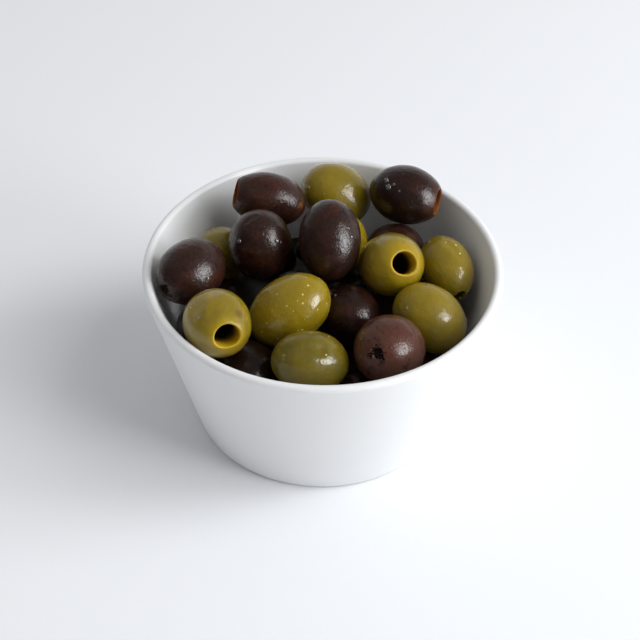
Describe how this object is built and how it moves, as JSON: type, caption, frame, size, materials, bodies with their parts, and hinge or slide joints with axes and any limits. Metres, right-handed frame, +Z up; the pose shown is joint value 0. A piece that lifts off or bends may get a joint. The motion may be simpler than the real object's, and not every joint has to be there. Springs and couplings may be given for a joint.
{
  "type": "bowl of olives",
  "caption": "Plain white conical bowl heaped to the rim with pitted green and dark olives, for a table of starters.",
  "frame": {"origin": "middle of the foot, on the surface that the bowl stands on", "axes": "+Z up out of the bowl's mouth; +Y is away from the side the heap is looked at from, +X to the right"},
  "size_m": [0.1098, 0.1098, 0.0721],
  "materials": {
    "glaze": "smooth white glaze with a soft gloss",
    "olives": "moist olive skins, yellow-green and brown-black, with a satin gloss"
  },
  "bodies": {
    "root": {"bowl": "glaze", "olives": "olives"}
  },
  "joints": []
}
